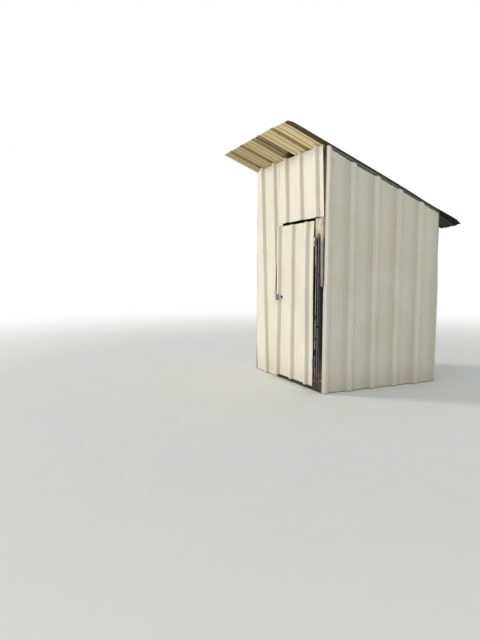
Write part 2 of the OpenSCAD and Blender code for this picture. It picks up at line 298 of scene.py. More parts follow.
rough_pine = ((178, 149, 112), (142, 108, 74), (150, 140, 124), 0.35, 0.55, (92, 72, 52), 0.35)
framing_wood = wood("framing_timber", *rough_pine)
# The joists' dark tone is ground soil and painted shade.
sill_soil_and_shade_wood = wood("sill_soil_and_shade_timber", (92, 80, 66), (68, 58, 48), (104, 98, 88),
                 0.6, 0.7, (50, 43, 36), 0.9)
floor_wood = wood("floor_timber", (160, 136, 104), (124, 96, 68),
                  (138, 128, 112), 0.6, 0.6, (84, 68, 52), 0.8)
inner_x, frame_inside, frame_face = 0.670, 0.721, 0.759
timber_width, timber_thick = 0.089, 0.038
floor_top = 0.111
plank_count, plank_gap = 9, 0.004
joists = [ends((-inner_x, y, 0), (inner_x, y + timber_thick, timber_width), 0)
          for y in (-frame_face, -0.019, frame_inside)]
piece("joist_timbers", [board(*quads, 20 + k) for k, quads in enumerate(joists)],
      [sill_soil_and_shade_wood], ["floor_joists"], "framing_timber")
board_pitch = 2 * inner_x / plank_count
planks = [ends((-inner_x + k * board_pitch + plank_gap / 2, -frame_face, timber_width),
               (-inner_x + (k + 1) * board_pitch - plank_gap / 2, frame_face, floor_top), 1)
          for k in range(plank_count)]
piece("floor_planks", [board(*quads, 30 + k, step=0.012, row=0.05, radius=0.002)
                       for k, quads in enumerate(planks)],
      [floor_wood], ["floor_boards"], "framing_timber")


# Corner posts: softwood of about 4 by 4 inches, set on the skids and cut off along the rafters.
# The front right one is bare to the weather beside the door: bleached at the top, and stained
# nearly black below by the water that runs down it, browner again near the ground. Over the
# header's edge it is painted dark for shade.

wall_face, front_height, back_height = 0.762, 2.520, 1.930
roof_fall = (front_height - back_height) / (2 * wall_face)
roof_slope = math.atan(roof_fall)
purlin_drop = timber_thick / math.cos(roof_slope)
rafter_drop = purlin_drop + timber_width / math.cos(roof_slope)


def roof_under(y):
    """Height of the roof sheets' underside, a straight line that falls to the back"""
    return front_height - roof_fall * (y + wall_face)


def post(node, seed, **shape):
    """A post whose head is cut off along the rafter's lower edge"""
    foot, head = ends(*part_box(node), 2)
    head[:, 2] = roof_under(head[:, 1]) - rafter_drop
    return board(foot, head, seed, heart=0.015, **shape)


def runoff_stain_and_shade(base, grain, place, cloud):
    """Below about 1.6 m the wood is soaked nearly black. Paler streaks run along the grain, and
    three paler strips down the jamb's outer edge and on both sides of the joint, and all turns
    a mottled brown towards the ground. Over the header's lower edge it is painted with shade:
    dark brown for the header's shadow, and nearly black for the shade under the roof."""
    x, _, height = axes(place)
    wander = plus(height, times(speckle(grain, 60, 3, (1, 1, 0.07)), -0.34))
    streaks = speckle(grain, 85, 4, (1, 1, 0.018))
    broken = between(speckle(grain, 16, 3, (0.2, 0.2, 1)), 0.34, 0.46)
    reach = plus(height, times(cloud, 0.4))
    pale = between(streaks, 0.58, 0.74, 0.55)
    wet = over(pale, (6, 6, 7), (80, 76, 78))
    for low, high, most, tone in ((0.594, 0.616, 0.95, (158, 153, 150)),
                                  (0.632, 0.650, 0.85, (128, 127, 134)),
                                  (0.664, 0.684, 0.45, (90, 86, 98))):
        strip = times(between(x, low - 0.003, low + 0.001),
                      between(x, high + 0.003, high - 0.003, most))
        wet = over(times(strip, broken), wet, tone)
    soil = over(between(speckle(grain, 110, 3, (1, 1, 0.2)), 0.46, 0.62), (60, 53, 52),
                (144, 121, 112))
    wet = over(between(reach, 0.66, 0.20, 0.75), wet, soil)
    base = over(between(wander, 1.52, 1.42, 0.995), base, wet)
    # Painted shade: dark brown in the header's shadow, nearly black under the roof.
    shaded = over(between(height, 2.28, 2.38), (62, 45, 32), (30, 24, 20))
    return over(between(height, 1.790, 1.812, 0.93), base, shaded)


stained_and_shaded_wood = wood("stained_and_shaded_timber", (242, 222, 194), (216, 192, 160),
                    (246, 232, 210), 0.75, 0.9, (132, 114, 92), 0.2, runoff_stain_and_shade, gloss=0.12)
# Painted shade: the left jamb, the head beam and the front plate show only in the gaps round the
# door and under the header, and are coloured nearly black for the shade there.
painted_shade_wood = wood("painted_shade_timber", (52, 45, 39), (38, 33, 29), (60, 55, 50),
                   0.4, 0.6, (26, 23, 20), 0.3)
for node, seed in (("post_front_left", 41), ("post_back_left", 42), ("post_back_right", 43)):
    piece(node + "_timber", [post(node, seed)], [framing_wood], [node], "framing_timber")


def limited(value):
    """The value, held between 0 and 1"""
    return np.clip(value, 0, 1)


def weathered(x, y, v):
    """Long shallow hollows on the bare front face, which is y near 0, between its grain ridges"""
    deep = 0.0022 * (1 + ripple(x, v * 2.3, 47, (420, 4))) / 2
    return x, y + deep * limited(1 - y / 0.012), v


piece("post_front_right_timber",
      [post("post_front_right", 44, step=0.004, row=0.016, radius=0.004, wear=weathered)],
      [stained_and_shaded_wood], ["post_front_right"], "weathered_timber")


# Trimmer stud, door jambs, head beam and stop: 2 by 4 inch softwood round the doorway.
# The hinge jamb stands proud of the posts. Rot has eaten its outer corner away below the upper
# hinge, so the gap beside the door is wider there.

timber("trimmer_timber", "trimmer_stud", 2, 51, stained_and_shaded_wood, "weathered_timber", step=0.004,
       row=0.016, wear=weathered)
timber("jamb_left_timber", "jamb_left", 2, 52, painted_shade_wood, "framing_timber")
jamb_low, jamb_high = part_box("jamb_right")
header_bottom = 1.806


def rotted(x, y, v):
    """The jamb's front corner on the door's side is pared off by a slope that grows over 6 cm
    below 1.36 m, rippled along its length, and its front is set back 6 mm behind the header
    sheet. The share v starts at the floor's top."""
    z = floor_top + v * (jamb_high[2] - floor_top)
    x, y, v = weathered(x, y, v)
    low = limited((1.36 - z) / 0.06)
    bite = low * (0.0125 + 0.0025 * ripple(z, 0 * z, 53, (38, 1)))
    x = np.maximum(x, bite * limited(1.15 - y / 0.030))
    y = np.where(z > header_bottom - 0.012, np.maximum(y, 0.006), y)
    return x, y, v


jamb_foot, jamb_head = ends((jamb_low[0], jamb_low[1], floor_top), jamb_high, 2)
tongue = ends(jamb_low, (jamb_high[0], jamb_low[1] + 0.006, floor_top), 2)
piece("jamb_right_timber",
      [board(jamb_foot, jamb_head, 54, step=0.003, row=0.012, wear=rotted),
       board(*tongue, 55, step=0.006, row=0.01, radius=0.001, relief=0.0004)],
      [stained_and_shaded_wood], ["jamb_right"], "weathered_timber")
timber("head_beam_timber", "door_head_beam", 0, 56, painted_shade_wood, "weathered_timber")
timber("door_stop_timber", "door_stop", 2, 57, framing_wood, "framing_timber", step=0.008,
       radius=0.002)


# Wall rails: 2 by 4 inch rails on edge between the posts, which the wall sheets are screwed to.
# They are the same rough pine as the rest of the inside, nailed through the posts.

rail_heights = (floor_top, 0.700, 1.400)
doorway_x0 = -0.226
for side, x0 in (("left", -frame_face), ("right", frame_inside)):
    piece("wall_rails_" + side,
          [board(*ends((x0, -inner_x, z), (x0 + timber_thick, inner_x, z + timber_width), 1),
                 60 + k + int(x0 > 0) * 3) for k, z in enumerate(rail_heights)],
          [framing_wood], ["girts_" + side], "framing_timber")
piece("wall_rails_back",
      [board(*ends((-inner_x, frame_inside, z), (inner_x, frame_face, z + timber_width), 0),
             70 + k) for k, z in enumerate(rail_heights)],
      [framing_wood], ["girts_back"], "framing_timber")
piece("wall_rails_front",
      [board(*ends((-inner_x, -frame_face, z), (doorway_x0, -frame_inside, z + timber_width), 0),
             73 + k) for k, z in enumerate((floor_top, 0.900, 1.810))],
      [framing_wood], ["girts_front"], "framing_timber")


# Roof timbers: a plate over the front and the back wall, a 2 by 5 inch rafter over each side wall
# up to the roof sheets, and three purlins laid flat between the rafters, which the roof sheets
# are screwed to. The rafters' outer faces are weathered where they show over the walls.

def painted_shade_end(base, grain, place, cloud):
    """The rafter's front end, in the gap beside the header sheet, is painted nearly black for the
    shade there
    """
    return over(between(axes(place)[1], -0.745, -0.755, 0.95), base, (30, 25, 21))


rafter_wood = wood("rafter_timber", (118, 112, 98), (96, 90, 78),
                   (122, 124, 112), 0.8, 0.7, (78, 74, 62), 0.3, painted_shade_end)

roof_gap = 0.0005
purlin_fronts = (-frame_face, -0.0445, inner_x)


def sloped(quads, upper, lower=None):
    """End faces whose upper corners are moved to a depth under the roof sheets, and the lower
    ones too where their depth is given"""
    for quad in quads:
        quad[2:, 2] = roof_under(quad[2:, 1]) - upper
        if lower:
            quad[:2, 2] = roof_under(quad[:2, 1]) - lower
    return quads


for end, finish in (("front", painted_shade_wood), ("back", framing_wood)):
    piece(f"plate_{end}_timber",
          [board(*sloped(ends(*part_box("plate_" + end), 0), purlin_drop), 80 + len(end))],
          [finish], ["plate_" + end], "framing_timber")
for side in ("left", "right"):
    rafter = sloped(ends(*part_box("rafter_" + side), 1), roof_gap, rafter_drop)
    piece(f"rafter_{side}_timber", [board(*rafter, 88 + len(side))], [rafter_wood],
          ["rafter_" + side], "framing_timber")
purlins = [sloped(ends((-frame_inside, y, 0), (frame_inside, y + timber_width, 1), 0),
                  roof_gap, purlin_drop) for y in purlin_fronts]
piece("purlin_timbers", [board(*quads, 95 + k) for k, quads in enumerate(purlins)],
      [framing_wood], ["purlins"], "framing_timber")


# Corner batten: a thin strip of bleached wood nailed over the front right corner post, palest at
# its upper end. Its lower half is gone, and the end that is left is split and slants.

def bleached_top(base, grain, place, cloud):
    """Above 1.6 m the batten is as pale as the jamb"""
    reach = plus(axes(place)[2], times(cloud, 0.12))
    return over(between(reach, 1.60, 1.72, 0.8), base, (236, 216, 182))


bleached_wood = wood("bleached_timber", (160, 154, 144), (130, 122, 110),
                     (164, 161, 154), 0.9, 0.9, (92, 86, 78), 0.1, bleached_top)
batten_low, batten_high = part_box("corner_batten")
batten_width, batten_length = 0.045, batten_high[2] - batten_low[2]


def splintered(x, y, v):
    """The lower end rises to one side, with a notch and splinters, and eases into the straight
    part over the lowest 18 cm. One edge has split off along the grain over the lowest 50 cm."""
    ragged = (0.026 * (1 - x / batten_width) + 0.012 * np.abs(np.sin(x * 260 + 0.8))
              + 0.010 * np.abs(np.sin(x * 610 + y * 90)))
    share = np.clip(ragged, 0, 0.085) / batten_length
    ease = limited(1 - v / (0.18 / batten_length))
    split = 0.014 * (1 - x / batten_width) * limited(1 - v / (0.50 / batten_length))
    return x + split, y, v + share * ease


timber("corner_batten_strip", "corner_batten", 2, 101, bleached_wood, "bleached_timber",
       step=0.0025, row=0.010, radius=0.0025, relief=0.0018, wear=splintered)


# Header sheet over the door: cream painted steel 0.5 mm thick, rolled with a rib of 32 mm every
# 12 inches and two low stiffening ribs in each flat. It leans to the left towards its top, stops
# short of the right corner, and reaches lower over the door's free corner.

rib_pitch, rib_height, rib_top, rib_foot = 0.3048, 0.032, 0.032, 0.078
face_out, skin, lap_lift = 0.003, 0.0012, 0.0014
screw_side = 0.055
low_rib_height = 0.0035


def rib_rise(s, ribs, low_height):
    """Height of a sheet's face across its width: a trapezoid at each rib and a low one at each
    third of the flats, with the bends rounded by averaging the height over 7 mm"""
    ribs = np.array(ribs)
    low_ribs = np.concatenate([ribs + k * rib_pitch / 3 for k in (-2, -1, 1, 2)])
    total = 0
    for shift in np.linspace(-0.0035, 0.0035, 7):
        away = np.abs(s[:, None] + shift - ribs).min(1)
        slope = (rib_foot - rib_top) / 2
        total = total + rib_height * limited((rib_foot / 2 - away) / slope)
        low = np.abs(s[:, None] + shift - low_ribs).min(1)
        total = total + low_height * limited((0.013 - low) / 0.008)
    return total / 7


def columns(first, last, ribs, more):
    """Places across the sheet for the mesh's lines: close together round each bend and beside
    the screws, and at most 22 mm apart elsewhere"""
    ribs = np.array(ribs)
    bend = np.array([0.0115, 0.014, 0.016, 0.018, 0.0205, 0.0275, 0.0345, 0.037, 0.039, 0.041,
                     0.0435])
    low = np.array([0.002, 0.0055, 0.0095, 0.013, 0.0165])
    parts = [[first, last], more]
    for rib in ribs:
        parts += [[rib], rib - bend, rib + bend]
        parts.append(rib + screw_side + np.array([-0.006, -0.002, 0.002, 0.006]))
        for k in (-2, -1, 1, 2):
            middle = rib + k * rib_pitch / 3
            parts += [middle - low, middle + low]
    s = np.unique(np.round(np.concatenate(parts), 5))
    s = s[(s >= first) & (s <= last)]
    inside = (s > first + 0.001) & (s < last - 0.001)
    s = np.concatenate([[first], s[inside], [last]])
    s = s[np.concatenate([[True], np.diff(s) > 0.0004])]
    filled = [s[:1]]
    for a, b in zip(s[:-1], s[1:]):
        n = max(1, int(np.ceil((b - a) / 0.022)))
        filled.append(np.linspace(a, b, n + 1)[1:])
    return np.concatenate(filled)


def ribbed(ribs, first, last, low, high, place, seed, screws=(), more=(), sway=0.0010,
           sink=None, share=None, low_height=low_rib_height, row=0.036):
    """A rolled sheet as a closed skin. Across it runs s, at the mesh's columns, and along it t,
    from low(s) to high(s) in equal shares. The outer face stands at the ribs' height, times a
    share where they are crushed, less a rippled sway in the flats and a sink where given, and
    the inner face lies one skin behind it, which is a little thicker than the real steel. Kinds
    are 0 for the outer face, 1 for the inner face and 2 for the cut edges. Values at each point
    are the sheet coordinates, the distances to the cut ends, to the side edges and to a rib's
    foot, and how much rust has run down from a screw."""
    s = columns(first, last, ribs, more)
    rise = rib_rise(s, ribs, low_height)
    bottom, top = low(s, rise), high(s, rise)
    keep = top - bottom > 0.001
    s, rise, bottom, top = s[keep], rise[keep], bottom[keep], top[keep]
    length = (top - bottom).max()
    middle = np.linspace(0.03, length - 0.03, int(length / row))
    v = np.concatenate([[0, 0.004, 0.012], middle,
                        [length - 0.012, length - 0.004, length]]) / length
    t = bottom[:, None] + v * (top - bottom)[:, None]
    s = s[:, None] + 0 * t
    flat = limited(1 - rise / rib_height)[:, None]
    sunk = sway * flat * (1 + ripple(s, t, seed, (16, 3))) / 2
    if sink:
        sunk = sunk + sink(s, t)
    kept = share(s, t) if share else 1
    out = face_out + rise[:, None] * kept - sunk
    n, m = t.shape
    points = np.concatenate([place(s, t, out).reshape(-1, 3),
                             place(s, t, out - skin).reshape(-1, 3)])
    o = np.arange(n * m).reshape(n, m)
    i = o + n * m
    blocks = [
        np.stack([o[:-1, :-1], o[1:, :-1], o[1:, 1:], o[:-1, 1:]], -1),
        np.stack([i[:-1, :-1], i[:-1, 1:], i[1:, 1:], i[1:, :-1]], -1),
        np.stack([o[1:, 0], o[:-1, 0], i[:-1, 0], i[1:, 0]], -1),
        np.stack([o[:-1, -1], o[1:, -1], i[1:, -1], i[:-1, -1]], -1),
        np.stack([o[0, :-1], o[0, 1:], i[0, 1:], i[0, :-1]], -1),
        np.stack([o[-1, 1:], o[-1, :-1], i[-1, :-1], i[-1, 1:]], -1),
    ]
    quads = np.concatenate([b.reshape(-1, 4) for b in blocks])
    kinds = np.full(len(quads), 2)
    faces = (n - 1) * (m - 1)
    kinds[:faces], kinds[faces:2 * faces] = 0, 1
    run = 0 * t
    draw = np.random.default_rng(seed + 500)
    for screw_s, screw_t in screws:
        below = screw_t - t
        reach, strength = draw.uniform(0.04, 0.16), draw.uniform(0.15, 1)
        trail = np.where(below > 0, np.exp(-below / reach), np.exp(below / 0.006))
        run = run + strength * trail * np.exp(-((s - screw_s) / 0.006) ** 2)
    foot = np.abs(np.abs(s[..., None] - np.array(ribs)).min(-1) - rib_foot / 2)
    values = {"sheet": np.stack([s + seed, t, face_out + rise[:, None] + 0 * t], -1),
              "cut_end": np.minimum(t - bottom[:, None], top[:, None] - t),
              "side_edge": np.minimum(s - first, last - s), "rib_foot": foot,
              "screw_run": run}
    values = {key: np.concatenate([value.reshape(n * m, -1).squeeze()] * 2)
              for key, value in values.items()}
    return {"points": points, "quads": quads, "triangles": np.zeros((0, 3), int),
            "kinds": kinds, "values": values}


def painted_steel(name, coat, chalk, soil, soiling, rust, splash, own_marks_and_shade=None, gloss=0.4):
    """Baked paint on rolled steel: a coat that has chalked in clouds, soil in long runs down the
    sheet, soil and painted shade along the ribs' feet, mud splashed up from the ground, rust that
    creeps in from the cut ends and runs down from screws, a piece's own marks and painted shade
    where given, and a fine orange-peel bump."""
    finish, tree, surface = new_finish(name)
    sheet = shade(tree, "Attribute", out=1, attribute_name="sheet")
    place = shade(tree, "TexCoord", out=3)
    cloud = speckle(place, 2.2, 4)
    runs = speckle(sheet, 46, 5, (1, 0.035, 0))
    wide_runs = speckle(sheet, 11, 3, (1, 0.10, 0))
    fleck = speckle(place, 240, 3)
    blotch = speckle(place, 26, 5)
    base = over(between(cloud, 0.35, 0.68, 0.8), coat, chalk)
    run_share = times(between(runs, 0.47, 0.78, soiling), between(wide_runs, 0.30, 0.62))
    base = over(run_share, base, soil)
    # Soil and painted shade along the ribs' feet.
    foot = shade(tree, "Attribute", out=2, attribute_name="rib_foot")
    foot_soil_and_shade = times(between(foot, 0.013, 0.0, min(1, soiling * 1.5)),
                       between(blotch, 0.25, 0.6))
    base = over(foot_soil_and_shade, base, soil)
    base = over(between(fleck, 0.66, 0.76, soiling * 0.8), base, soil)
    if splash:
        reach = plus(axes(place)[2], times(blotch, 0.24))
        mud = times(between(reach, 0.46, 0.10, splash), between(fleck, 0.30, 0.62))
        base = over(mud, base, (126, 110, 86))
    if own_marks_and_shade:
        base = own_marks_and_shade(base, place, sheet, blotch)
    end = shade(tree, "Attribute", out=2, attribute_name="cut_end")
    end = plus(end, times(blotch, 0.020))
    base = over(between(end, 0.016, 0.006, rust), base, (112, 72, 44))
    screw_run = shade(tree, "Attribute", out=2, attribute_name="screw_run")
    rust_share = times(between(screw_run, 0.05, 0.9, rust), between(blotch, 0.25, 0.65))
    base = over(rust_share, base, (140, 92, 58))
    rough = plus(plus(times(run_share, 0.3), times(cloud, 0.22)), 0.34)
    peel = plus(times(speckle(place, 900, 2), 0.5), times(blotch, 0.6))
    dress(surface, base, rough, peel, 0.12, 0.0012, gloss)
    return finish


cream = ((224, 219, 198), (231, 227, 211), (176, 168, 146), 0.16, 0.30, 0.30)
cream_coat = painted_steel("cream_paint", *cream)
back_coat = painted_steel("back_coat", (206, 190, 154), (216, 202, 168),
                          (132, 114, 80), 0.45, 0.6, 0.3)
cut_edge = painted_steel("cut_edge", (122, 112, 92), (138, 128, 106), (86, 66, 44), 0.9, 0.9, 0.2)
sheet_coats = [cream_coat, back_coat, cut_edge]


def leaning(pivot, lean):
    """Where a point of a front sheet lies: its across and along coordinates are turned about a
    pivot level with the header's edge, and it stands out from the front of the framing"""
    c, k = math.cos(lean), math.sin(lean)

    def place(s, t, out):
        return np.stack([pivot + (s - pivot) * c - t * k, -(frame_face + out),
                         header_bottom + (s - pivot) * k + t * c], -1)

    return place


def front_limits(pivot, lean, left, right, bottom, back=0.0, notch=0.0):
    """Lowest and highest t of each column of a leaning sheet that is trimmed by an upright line
    on the left and right, a level one below, and the roof above. Below the header's edge the
    right line is set back, with a slanting notch that runs out 0.85 m lower."""
    c, k, notch_run = math.cos(lean), math.sin(lean), 0.85

    def low(s, rise):
        level = (bottom(s) - header_bottom - (s - pivot) * k) / c
        past = (s - pivot) * c + pivot - right
        below = np.maximum((past + back) / k, (past + back + notch) / (k - notch / notch_run))
        return np.maximum(level, np.maximum(past / k, np.minimum(below, 0)))

    def high(s, rise):
        under = front_height + roof_fall * rise - 0.002
        level = (under - header_bottom - (s - pivot) * k) / c
        return np.minimum(level, ((s - pivot) * c + pivot - left) / k)

    return low, high


header_pivot, header_lean = wall_face - 0.020, math.radians(3.4)
header_ribs = [wall_face - d for d in (0.742, 0.437, 0.132)]
header_place = leaning(header_pivot, header_lean)
free_corner_x, free_corner_z, past_the_wall = -0.100, 1.782, 2.0
header_low, header_high = front_limits(
    header_pivot, header_lean, left=-0.205, right=past_the_wall,
    bottom=lambda s: np.where(s < free_corner_x, free_corner_z, header_bottom + 0.003))
header_screws = [(rib + screw_side, t) for rib in header_ribs for t in (0.045, 0.640)]


def lapped(s, t):
    """The left edge is lifted by a sheet's thickness, to lap over the left sheet by 15 mm"""
    x = header_place(s, t, 0 * t)[..., 0]
    return -lap_lift * limited((-0.170 - x) / 0.015)


piece("header_sheet",
      [ribbed(header_ribs, -0.2045, header_pivot, header_low, header_high, header_place, 1,
              header_screws, more=[-0.190, free_corner_x - 0.0004, free_corner_x + 0.0004],
              sink=lapped)],
      sheet_coats, ["front_header_sheet"], "cream_sheet")


# Left front sheet: the same cream sheet, put up leaning to the left. It is trimmed to the doorway
# with a notch that leaves a dark gap over the latch, and its rib is pressed flat below it.

left_pivot, left_lean = wall_face - 0.955, math.radians(3.6)
left_ribs = [wall_face - d for d in (1.327, 1.022)]
left_place = leaning(left_pivot, left_lean)
sheet_foot = 0.006
left_low, left_high = front_limits(left_pivot, left_lean, left=-frame_face, right=-0.190,
                                   bottom=lambda s: sheet_foot, back=0.014, notch=0.005)
left_screws = [(s, t) for s in (left_ribs[0] + screw_side, left_ribs[1] - screw_side)
               for t in (-1.650, -0.860, 0.045, 0.620)]


def pressed(s, t):
    """Share of the ribs' height that is left: half of it beside the door, below the latch"""
    x = left_pivot + (s - left_pivot) * math.cos(left_lean) - t * math.sin(left_lean)
    z = header_bottom + (s - left_pivot) * math.sin(left_lean) + t * math.cos(left_lean)
    return 1 - 0.5 * limited((x + 0.255) / 0.03) * limited((1.00 - z) / 0.06)


piece("left_front_sheet",
      [ribbed(left_ribs, -0.872, -0.148, left_low, left_high, left_place, 2, left_screws,
              more=[-0.146, -0.190, -0.2055, -0.3175, -0.309], share=pressed)],
      sheet_coats, ["front_left_sheet"], "cream_sheet")


# Side wall sheets: on each side two cream sheets stand on end, and the front one's last rib laps
# over the rear one's edge. Their tops are cut along the roof, and the front one starts in a
# rib that closes the corner, bent back by 1 cm above 1.1 m. The left wall is the same, mirrored,
# with its corner bent back all the way down. All are screwed on at the rails and near the top.

side_ribs = [-0.734 + k * rib_pitch for k in range(6)]
side_split, side_lap = 0.2214, 0.012


def flats_darker_before_ribs(base, place, sheet, blotch):
    """The flats grow darker towards the front foot of each rib, which is 0.872 of the way from
    rib to rib"""
    along = sums("FRACT", sums("DIVIDE", minus(axes(place)[1], side_ribs[0]), rib_pitch))
    share = times(between(along, 0.40, 0.86, 0.26), between(along, 0.878, 0.868))
    return over(share, base, (160, 156, 140))


side_coat = painted_steel("side_paint", *cream, flats_darker_before_ribs)


def side_top(s, rise):
    """The side sheets' top edge, cut by hand a few centimetres under the roof. It nears the roof
    towards the back, is higher on the corner's lip, and dips by 10 mm in the front half."""
    front, back = 2.480, 1.904
    line = front - (front - back) / (2 * wall_face) * (s + wall_face)
    lip = 0.009 * limited((-0.715 - s) / 0.03)
    return line + lip - 0.010 * np.exp(-((s + 0.34) / 0.20) ** 2)


def side_foot(s, rise):
    """The side sheets' bottom edge, just clear of the ground"""
    return sheet_foot + 0 * s


def under_lap(start):
    """The rear sheet's edge is pressed back by a little over the skin where it is lapped"""
    return lambda s, t: lap_lift * limited((start + 0.006 - s) / 0.004)


def flattened(s, t):
    """Share of the ribs' height that is left: the rear edge is pressed to the post above 1.1 m"""
    return 1 - limited((s - 0.742) / 0.012) * limited((t - 1.1) / 0.5)


def side_place(sign):
    """Where a point of the right wall's sheets lies, or of the left wall's where the sign is
    -1. They stand upright on the framing. The corner's lip is bent back by 10 mm, and by 4 mm
    more towards its top, and the rear edge is pressed forward by up to 12 mm above 1.1 m."""
    def place(s, t, out):
        bent = limited((t - 1.05) / 0.10) if sign > 0 else 1
        back = 0.010 * bent + 0.004 * limited((t - 1.9) / 0.3)
        back = back * limited((-0.715 - s) / 0.05)
        back = back - 0.012 * limited((s - 0.70) / 0.06) * limited((t - 1.1) / 0.6)
        return np.stack([sign * (frame_face + out), s + back, t], -1)

    return place


rail_screws = (0.155, 0.744, 1.444)
side_screws = [(r + screw_side, t) for r in side_ribs[:-1]
               for t in (*rail_screws, side_top(r, 0) - 0.115)]
for side, sign in (("right", 1), ("left", -1)):
    for part, first, last, seed, sink in (
            ("front", -0.772, side_split, 3, None),
            ("rear", side_split - side_lap, wall_face, 7, under_lap(side_split))):
        screws = [spot for spot in side_screws if first < spot[0] < last]
        piece(f"{side}_wall_{part}",
              [ribbed(side_ribs, first, last, side_foot, side_top, side_place(sign), seed + sign,
                      screws, sink=sink, share=flattened)],
              [side_coat, back_coat, cut_edge], [f"{side}_wall_sheet_{part}"], "cream_sheet")


# Back wall sheets: two cream sheets between the side sheets, screwed to the same rails and to
# the back plate, and cut off just under the roof's tail.

back_ribs = [k * rib_pitch for k in range(-2, 3)]
back_split = rib_pitch / 2


def back_place(s, t, out):
    """A point of the back wall stands out behind the framing"""
    return np.stack([s, frame_face + out, t], -1)


def back_top(s, rise):
    """The back sheets' top edge, under the falling roof"""
    return roof_under(wall_face + rise) - 0.003


back_screws = [(r + screw_side, t) for r in back_ribs for t in (*rail_screws, 1.860)]
for part, first, last, sink in (
        ("left", -frame_face, back_split, None),
        ("right", back_split - side_lap, frame_face, under_lap(back_split))):
    screws = [spot for spot in back_screws if first < spot[0] < last]
    piece("back_wall_" + part,
          [ribbed(back_ribs, first, last, side_foot, back_top, back_place,
                  13 + len(part), screws, sink=sink)],
          sheet_coats, ["back_wall_sheet_" + part], "cream_sheet")


# Roof sheets: two cream sheets laid on the purlins from front to back. They lap in a seam left of
# the middle, hang far out over the door, and show a dirty tan back coat underneath, with painted
# shade in its hollows, along the seam and under the tail. The right edge is cut through a rib, so
# that its hollow is open to the side; the hollow is painted dark for shade, and the edge carries
# algae and painted shade.

front_eave, back_eave = 0.437, 0.328
roof_tip_y = -wall_face - front_eave
roof_tip_z = roof_under(roof_tip_y)
roof_length = (front_eave + 2 * wall_face + back_eave) / math.cos(roof_slope)
roof_seam, roof_clear, cut_rib = wall_face - 0.701, 0.003, wall_face - 0.085


def edge_algae_and_shade(base, place, sheet, blotch):
    """A dark band along the roof's side edges: algae, and painted shade"""
    side = shade(place.id_data, "Attribute", out=2, attribute_name="side_edge")
    side = plus(side, times(blotch, 0.03))
    outer = between(sums("ABSOLUTE", axes(place)[0]), 0.5, 0.6)
    share = times(between(side, 0.052, 0.030, 0.85), outer)
    return over(share, base, (74, 66, 46))


def soffit_tone_and_shade(base, place, sheet, blotch):
    """Painted shade in the ribs' hollows, by the rib's height above the sheet's plane, and a tone
    that darkens to the left. The seam, the open rib at the right edge and the tail over the back
    wall are painted dark for shade, and the seam's hollow is painted black where it meets the
    front wall. Over the side wall the open rib is a paler grey-tan."""
    x, y, _ = axes(place)
    deep = axes(sheet)[2]
    hollow_shade = (112, 92, 58)
    # Painted shade in the ribs' hollows, seen from below.
    base = over(between(deep, 0.0042, 0.0070, 0.55), base, hollow_shade)
    base = over(between(deep, 0.011, 0.024, 0.25), base, hollow_shade)
    base = over(between(x, 0.70, -0.75, 0.58), base, (150, 130, 90))
    worn = times(blotch, 0.012)
    from_seam = plus(sums("ABSOLUTE", minus(x, roof_seam)), worn)
    # Painted shade along the seam.
    base = over(between(from_seam, 0.036, 0.020, 0.72), base, (84, 68, 40))
    base = over(between(from_seam, 0.016, 0.010, 0.85), base, (36, 29, 18))
    # Painted shade: the seam's hollow is black where it meets the front wall.
    hollow = between(sums("ABSOLUTE", minus(x, 0.07)), 0.09, 0.06)
    hollow = times(hollow, between(y, -0.84, -0.80, 0.9))
    base = over(hollow, base, (26, 21, 14))
    # Painted shade in the open rib at the right edge, paler over the side wall.
    edge = between(minus(x, worn), 0.658, 0.674, 0.92)
    dark = over(between(y, -0.76, -0.70), (88, 74, 48), (160, 158, 138))
    base = over(edge, base, dark)
    # Painted shade under the tail over the back wall.
    tail = between(y, 0.745, 0.775, 0.95)
    return over(tail, base, (17, 19, 17))


roof_top_coat = painted_steel("roof_paint", (206, 201, 184), (218, 214, 200),
                              (122, 112, 88), 0.9, 0.95, 0, edge_algae_and_shade)
roof_under_coat = painted_steel("roof_back_coat", (250, 226, 172), (252, 233, 186),
                                (190, 160, 106), 0.4, 0.7, 0, soffit_tone_and_shade, gloss=0.08)
# The roof's cut edges are dark olive: dirt and algae, and painted shade along the rake.
roof_edge_soil_and_shade = painted_steel("roof_edge_soil_and_shade", (72, 64, 47), (84, 76, 58),
                          (50, 44, 32), 0.8, 0.8, 0, gloss=0.08)
roof_coats = [roof_top_coat, roof_under_coat, roof_edge_soil_and_shade]


def roof_place(s, t, out):
    """A point of the roof lies t down the slope from the front tip, out above its plane. The
    right edge flares by 12 mm over the last 35 cm."""
    c, k = math.cos(roof_slope), math.sin(roof_slope)
    height = out - face_out + roof_clear
    flare = 0.012 * limited((s - 0.70) / 0.05) * limited((t - roof_length) / 0.35 + 1)
    return np.stack([s + flare, roof_tip_y + t * c + height * k,
                     roof_tip_z - t * k + height * c], -1)


def lip(s):
    """How far the front edge is bent down: up to 15 mm at the right corner, from x 0.30 on"""
    return 0.015 * limited((s - 0.30) / 0.45) ** 1.6


def roof_start(s, rise):
    """The sheets' front edge, further back where it is bent down"""
    return 0.003 + 0.4 * lip(s)


def roof_end(s, rise):
    """The sheets' back edge, the drip edge: plumb, so it lies further down the slope where the
    sheet is low, as the crushed right edge is"""
    kept = np.where(s > cut_rib, 0.3, 1) * rise
    return roof_length + (rib_height - kept) * math.tan(roof_slope)


def crushed(s, t):
    """Share of the ribs' height that is left. All are pressed down at the front edge. The rib at
    the right edge is crushed most at the front, again over the back wall, and at its back end."""
    front = 0.78 * np.exp(-(t / 0.07) ** 2)
    edge = (0.25 * np.exp(-t / 0.10) + 0.58 * np.exp(-(t / 0.95) ** 2)
            + 0.24 * np.exp(-((t - 1.93) / 0.22) ** 2)
            + 0.70 * limited((t - roof_length + 0.07) / 0.07) ** 1.5)
    return 1 - np.where(s > cut_rib, edge, front)


